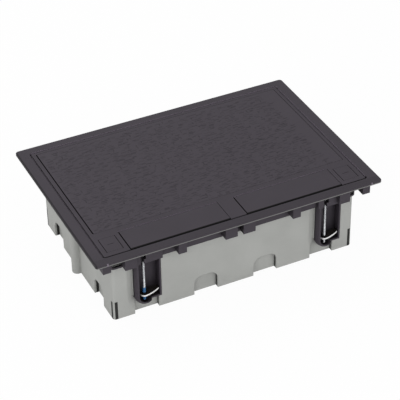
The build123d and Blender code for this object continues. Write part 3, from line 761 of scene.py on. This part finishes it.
def walled(mesh, bottom):
    """The sheet with upright walls down to the bottom and a closed underside."""
    rim = [edge for edge in mesh.edges if edge.is_boundary]
    for edge in rim:
        edge.smooth = False
    walls = bmesh.ops.extrude_edge_only(mesh, edges=rim)["geom"]
    for vert in only(bmesh.types.BMVert, walls):
        vert.co.z = bottom
    bmesh.ops.edgenet_fill(mesh, edges=only(bmesh.types.BMEdge, walls))
    bmesh.ops.recalc_face_normals(mesh, faces=mesh.faces)
    return mesh


def embossed_panel():
    """The panel: a fine grid with dents, closed by walls and an underside."""
    low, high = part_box("textured_panel")
    columns, rows = weave_cells
    size = high - low
    middle = Vector(((low.x + high.x) / 2, (low.y + high.y) / 2, high.z))
    where = Matrix.Translation(middle) @ Matrix.Diagonal((size.x / 2, size.y / 2, 1.0, 1.0))
    mesh = bmesh.new()
    bmesh.ops.create_grid(mesh, x_segments=columns, y_segments=rows, size=1.0, matrix=where)
    depths = dash_depths()
    for vert in mesh.verts:
        column = round((vert.co.x - low.x) / size.x * columns)
        row = round((vert.co.y - low.y) / size.y * rows)
        vert.co = pulled_in(vert.co, low, high)
        vert.co.z -= depths[column][row]
    for face in mesh.faces:
        face.smooth = True
    return walled(mesh, low.z)


panel = piece_from(embossed_panel(), "embossed_panel", weave, "lid")
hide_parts("textured_panel")
print("embossed panel", len(panel.data.polygons), "faces")

# %% [markdown]
# ## Threads
# A thread is one small profile carried round the axis while it climbs by a pitch a turn. The
# spin operator does just that with its offset, and both ends are then cut level and closed.

# %% Thread helper
thread_steps = 20
thread_depth = 0.6
thread_profile = ((thread_depth, 0.0), (0.0, 0.45), (0.0, 0.55), (thread_depth, 1.0))


def thread(radius, pitch, bottom, top):
    """A closed helical thread between two heights round the Z axis, as its own bmesh."""
    mesh = bmesh.new()
    start = bottom - pitch
    turns = ceil((top - start) / pitch) + 1
    points = [
        mesh.verts.new((radius - inward * pitch, 0.0, start + up * pitch)) for inward, up in thread_profile
    ]
    edges = [mesh.edges.new(pair) for pair in zip(points, points[1:])]
    bmesh.ops.spin(
        mesh, geom=points + edges, cent=(0.0, 0.0, 0.0), axis=(0.0, 0.0, 1.0),
        dvec=(0.0, 0.0, pitch / thread_steps), angle=2 * pi * turns, steps=thread_steps * turns,
    )
    bmesh.ops.remove_doubles(mesh, verts=mesh.verts, dist=pitch / 100)
    for height, outward in ((bottom, -1.0), (top, 1.0)):
        everything = mesh.verts[:] + mesh.edges[:] + mesh.faces[:]
        cut = bmesh.ops.bisect_plane(
            mesh, geom=everything, dist=1e-7, plane_co=(0.0, 0.0, height),
            plane_no=(0.0, 0.0, outward), clear_outer=True,
        )
        bmesh.ops.edgenet_fill(mesh, edges=only(bmesh.types.BMEdge, cut["geom_cut"]))
    bmesh.ops.recalc_face_normals(mesh, faces=mesh.faces)
    return mesh


def joined(*parts):
    """One bmesh from several."""
    whole = bmesh.new()
    for part in parts:
        data = bpy.data.meshes.new("part")
        part.to_mesh(data)
        part.free()
        whole.from_mesh(data)
        bpy.data.meshes.remove(data)
    return whole


def copied_to(mesh, places):
    """Moves a bmesh to the first place and puts a copy of it at each of the others."""
    original = mesh.verts[:] + mesh.edges[:] + mesh.faces[:]
    for place in places[1:]:
        made = bmesh.ops.duplicate(mesh, geom=original)["geom"]
        bmesh.ops.translate(mesh, verts=only(bmesh.types.BMVert, made), vec=Vector(place))
    bmesh.ops.translate(mesh, verts=only(bmesh.types.BMVert, original), vec=Vector(places[0]))
    return mesh


# %% [markdown]
# ## The claw screws
# Each claw rides on a long M3 screw, and the photograph shows the bare threads inside the
# guides. The CAD screw is a smooth rod of the same size, so a threaded one takes its place. Its
# pan head is a short drum with a rounded rim, and the Boolean modifier cuts its slot.

# %% Claw screws
screw_radius = 0.0015
screw_pitch = 0.0005
slot_width = 0.0008
slot_depth = 0.0012
pan_height = 0.0024
tip_taper = 0.35


def rounded_head(radius, bottom, top, rounding):
    """A drum whose upper rim is rounded."""
    mesh = bmesh.new()
    drum(mesh, radius, bottom, top)
    rim = [edge for edge in mesh.edges if all(abs(vert.co.z - top) < 1e-6 for vert in edge.verts)]
    bmesh.ops.bevel(mesh, geom=rim, offset=rounding, segments=4, profile=0.5, affect="EDGES", material=-1)
    return mesh


def claw_screw(name, material, body):
    """A threaded screw with a slotted head and a tapered tip in a CAD screw's place."""
    low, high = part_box(name)
    centre = (low + high) / 2
    head_radius = (high.x - low.x) / 2
    head_bottom = high.z - pan_height
    slot = bmesh.new()
    bar(slot, (3 * head_radius, slot_width, 2 * slot_depth), (0.0, 0.0, high.z))
    head = carve(rounded_head(head_radius, head_bottom, high.z, pan_height / 3), slot)
    shank = thread(screw_radius, screw_pitch, low.z, head_bottom + screw_pitch)
    taper_top = low.z + 2 * screw_pitch
    for vert in shank.verts:
        if vert.co.z < taper_top:
            narrowed = 1.0 - tip_taper * (taper_top - vert.co.z) / (taper_top - low.z)
            bmesh.ops.scale(shank, verts=[vert], vec=(narrowed, narrowed, 1.0))
    mesh = joined(head, shank)
    bmesh.ops.translate(mesh, verts=mesh.verts, vec=(centre.x, centre.y, 0.0))
    piece = piece_from(mesh, f"{name}_threaded", material, body)
    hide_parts(name)
    return piece


for corner in ("front_left", "front_right", "rear_right", "rear_left"):
    finish = locked_zinc if corner == "front_left" else zinc
    piece = claw_screw(f"{corner}_claw_screw", finish, f"{corner}_screw")
    print(piece.name, len(piece.data.polygons), "faces")

# %% [markdown]
# ## The small screws
# Eight pan-head screws hold the two device frames, and two countersunk ones hold the frame to
# the box. Only their heads show once the lid is open, so those get a real cross recess, cut by
# two crossed bars, and the shanks stay smooth.

# %% Device and fixing screws
post_x = 0.0712
post_rows = (-0.045, -0.009, 0.009, 0.045)
recess_width = 0.0007
recess_reach = 1.3
recess_share = 0.6
device_head_radius = 0.0027
device_head_height = 0.0018
device_shank_radius = 0.00145
fixing_cone_height = 0.0019
fixing_shank_radius = 0.0017


def cross_headed(mesh, radius, top, depth):
    """The head with two crossed bars cut out of its top."""
    length = recess_reach * radius
    for size in ((length, recess_width, 2 * depth), (recess_width, length, 2 * depth)):
        cutter = bmesh.new()
        bar(cutter, size, (0.0, 0.0, top))
        mesh = carve(mesh, cutter)
    return mesh


low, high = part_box("device_frame_screws")
head_bottom = high.z - device_head_height
head = rounded_head(device_head_radius, head_bottom, high.z, device_head_height / 2)
head = cross_headed(head, device_head_radius, high.z, recess_share * device_head_height)
shank = bmesh.new()
drum(shank, device_shank_radius, low.z, head_bottom, segments=16)
places = [(side * post_x, row, 0.0) for side in (-1, 1) for row in post_rows]
mesh = copied_to(joined(head, shank), places)
device_screws = piece_from(mesh, "device_frame_screw_set", zinc, "base")
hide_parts("device_frame_screws")

low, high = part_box("box_fixing_screws")
head_radius = (high.y - low.y) / 2
head_bottom = high.z - fixing_cone_height
head = bmesh.new()
drum(head, head_radius - fixing_cone_height, head_bottom, high.z, radius_top=head_radius)
head = cross_headed(head, head_radius, high.z, fixing_cone_height)
shank = bmesh.new()
drum(shank, fixing_shank_radius, low.z, head_bottom, segments=16)
places = [(x, 0.0, 0.0) for x in (low.x + head_radius, high.x - head_radius)]
mesh = copied_to(joined(head, shank), places)
fixing_screws = piece_from(mesh, "box_fixing_screw_set", zinc, "base")
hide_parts("box_fixing_screws")
print("small screws", len(device_screws.data.polygons), len(fixing_screws.data.polygons), "faces")

# %% [markdown]
# ## The jacks' contacts
# Eight gold wires slope into each network port. One wire is a small hexagon, extruded along
# three short runs, and copied at the standard pitch into every port.

# %% Gold contacts
contact_radius = 0.00018
contact_pitch = 0.00102
contact_start = Vector((0.0, 0.0033, 0.0385))
contact_runs = ((0.0, -0.0022, -0.0075), (0.0, 0.0003, -0.001), (0.0, 0.0005, -0.0018))
contacts_in_port = 8
port_row = -0.027
port_offset = 0.010
outlet_places = (-0.045, 0.0, 0.045)
ports = [outlet + side * port_offset for outlet in outlet_places for side in (-1, 1)]


def contact_wire():
    """One wire, in the middle of a port at the origin."""
    mesh = bmesh.new()
    ring = bmesh.ops.create_circle(
        mesh, cap_ends=True, segments=6, radius=contact_radius, matrix=Matrix.Translation(contact_start),
    )
    face = ring["verts"][0].link_faces[0]
    for run in contact_runs:
        grown = bmesh.ops.extrude_face_region(mesh, geom=[face])["geom"]
        bmesh.ops.translate(mesh, verts=only(bmesh.types.BMVert, grown), vec=Vector(run))
        face = only(bmesh.types.BMFace, grown)[0]
    bmesh.ops.recalc_face_normals(mesh, faces=mesh.faces)
    return mesh


middle_contact = (contacts_in_port - 1) / 2
offsets = [(index - middle_contact) * contact_pitch for index in range(contacts_in_port)]
places = [(port + offset, port_row, 0.0) for port in ports for offset in offsets]
contacts = piece_from(copied_to(contact_wire(), places), "jack_contacts", gold, "base")
print("contacts", len(places), "wires", len(contacts.data.polygons), "faces")

# %% [markdown]
# ## The foam strips
# A cut foam strip has soft rounded edges, so the CAD's sharp block is replaced by a bevelled
# one of the same size.

# %% Foam strips under the flaps
foam_edge = 0.0004
for side in ("left", "right"):
    low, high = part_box(f"{side}_flap_seal")
    mesh = bmesh.new()
    bar(mesh, high - low, (low + high) / 2)
    bmesh.ops.bevel(
        mesh, geom=mesh.edges[:], offset=foam_edge, segments=4, profile=0.5, affect="EDGES", material=-1,
    )
    strip = piece_from(mesh, f"{side}_flap_foam", foam, f"{side}_flap", smooth=True)
    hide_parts(f"{side}_flap_seal")
    print(strip.name, [round(size * 1000, 1) for size in high - low], "mm")

# %% [markdown]
# ## The floor
# The photograph has a white background without a horizon. The floor is a pale plane that the
# camera sees a little brighter than it is lit, so it stays white and still keeps a trace of the
# contact shadow.

# %% Floor
white = (1.0, 1.0, 1.0, 1.0)
paper_colour = (0.85, 0.85, 0.85, 1.0)
floor_glow = 0.96
floor_size = 6.0


def floor_material():
    material, tree, _ = new_material("pale floor")
    paper = add(tree, "ShaderNodeBsdfDiffuse", {"Color": paper_colour})
    glow = add(tree, "ShaderNodeEmission", {"Color": white, "Strength": 1.0})
    rays = add(tree, "ShaderNodeLightPath")
    share = {0: rays.outputs["Is Camera Ray"], 1: floor_glow}
    seen = add(tree, "ShaderNodeMath", share, operation="MULTIPLY")
    pair = {0: seen.outputs[0], 1: paper.outputs["BSDF"], 2: glow.outputs["Emission"]}
    surface = add(tree, "ShaderNodeMixShader", pair)
    add(tree, "ShaderNodeOutputMaterial", {"Surface": surface.outputs[0]})
    return material


mesh = bmesh.new()
bmesh.ops.create_grid(mesh, x_segments=1, y_segments=1, size=floor_size / 2)
data = bpy.data.meshes.new("floor")
mesh.to_mesh(data)
mesh.free()
floor = bpy.data.objects.new("floor", data)
bpy.context.scene.collection.objects.link(floor)
data.materials.append(floor_material())
print("floor", floor_size, "m wide")

# %% [markdown]
# ## The sky
# A white sky fills the shadows evenly. It lights the object at less than full strength, while
# the camera, and anything seen through glass, gets it at strength 1, which is plain white.

# %% Sky
sky_strength = 0.62
world = bpy.data.worlds.new("studio")
bpy.context.scene.world = world
world.use_nodes = True
tree = world.node_tree
tree.nodes.clear()
rays = add(tree, "ShaderNodeLightPath")
pair = {0: rays.outputs["Is Camera Ray"], 1: rays.outputs["Is Transmission Ray"]}
direct = add(tree, "ShaderNodeMath", pair, operation="MAXIMUM")
limits = {"Value": direct.outputs[0], "To Min": sky_strength, "To Max": 1.0}
strength = add(tree, "ShaderNodeMapRange", limits)
sky = add(tree, "ShaderNodeBackground", {"Color": white, "Strength": strength.outputs["Result"]})
add(tree, "ShaderNodeOutputWorld", {"Surface": sky.outputs["Background"]})
print("sky", sky_strength)

# %% [markdown]
# ## The softboxes
# Three large area lamps give the very even light of a studio. The one overhead stands behind
# and to the left, where the photograph's lid is a little lighter. The one in front is low,
# because the grey box is almost as bright there as its own colour.

# %% Softboxes
aim_height = 0.04


def softbox(name, place, size, power):
    """A square area lamp that faces the object."""
    lamp = bpy.data.lights.new(name, "AREA")
    lamp.size = size
    lamp.energy = power
    holder = bpy.data.objects.new(name, lamp)
    bpy.context.scene.collection.objects.link(holder)
    aim = Vector((0.0, 0.0, aim_height)) - Vector(place)
    turned = aim.to_track_quat("-Z", "Y").to_matrix().to_4x4()
    holder.matrix_world = Matrix.Translation(place) @ turned


softbox("overhead softbox", (-0.5, 0.7, 1.2), 1.2, 6.8)
softbox("left softbox", (-1.7, -1.1, 1.1), 1.4, 13.0)
softbox("front softbox", (0.7, -2.2, 0.6), 1.4, 16.0)
print("lamps", len(bpy.data.lights))
